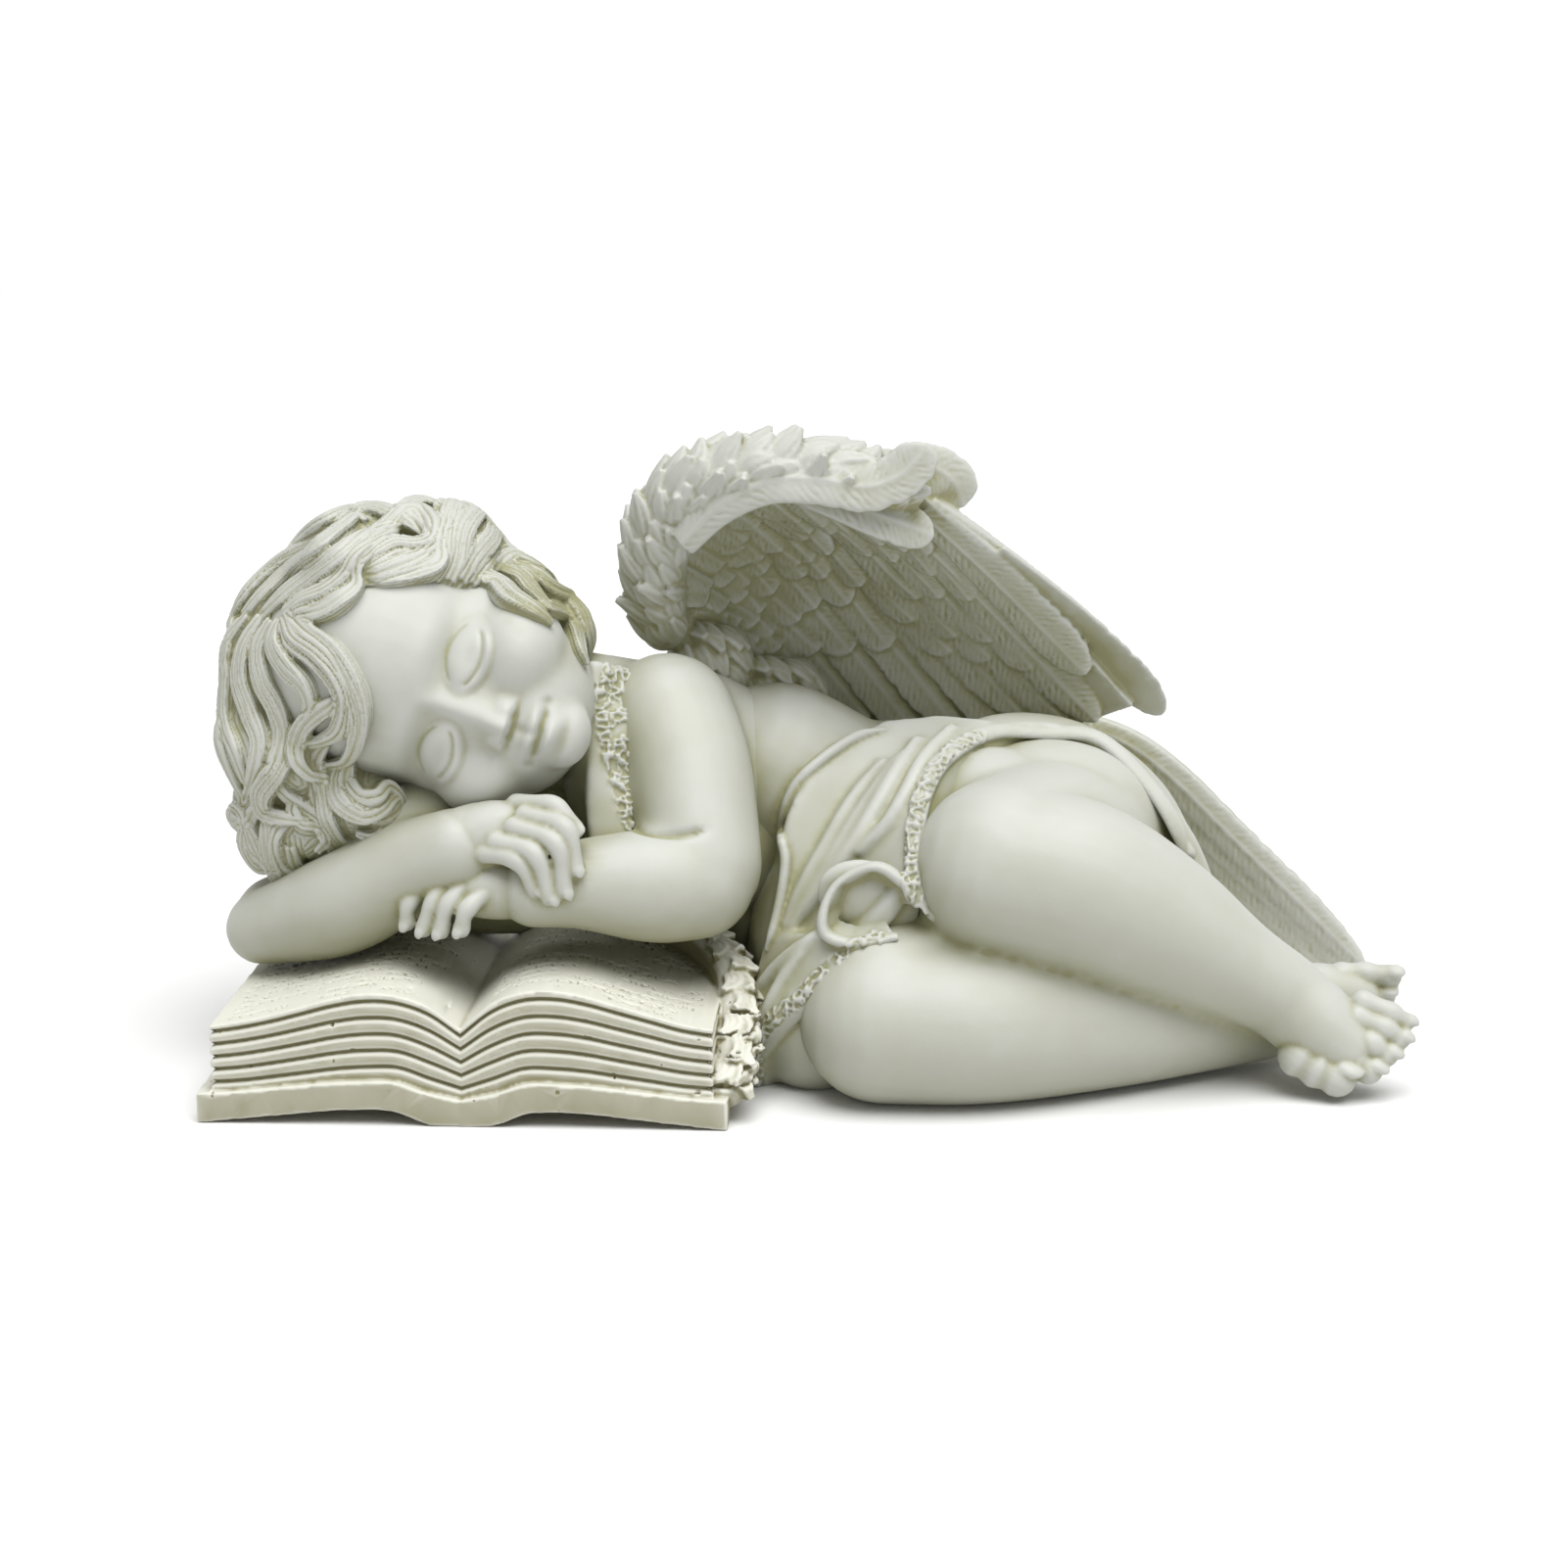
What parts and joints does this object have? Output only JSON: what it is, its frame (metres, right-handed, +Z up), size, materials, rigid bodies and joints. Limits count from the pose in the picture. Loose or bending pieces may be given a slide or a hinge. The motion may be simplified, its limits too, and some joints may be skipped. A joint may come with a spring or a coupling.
{
  "type": "sleeping cherub garden statue",
  "caption": "Sleeping winged child lying on its side with a raised feathered wing, its head and folded arms resting on an open book.",
  "frame": {"origin": "middle of the statue's underside, on the ground", "axes": "+X from the head to the feet, +Y away from the viewer towards the figure's back, +Z up"},
  "size_m": [0.3521, 0.1368, 0.1878],
  "materials": {
    "cast_stone": "painted cast resin: pale grey-green stone colour with an olive wash in the hollows",
    "cast_stone_cream": "painted cast resin: cream stone colour with small pits and an olive wash in the grooves"
  },
  "bodies": {
    "root": {"angel": "cast_stone", "open_book": "cast_stone_cream"}
  },
  "joints": []
}
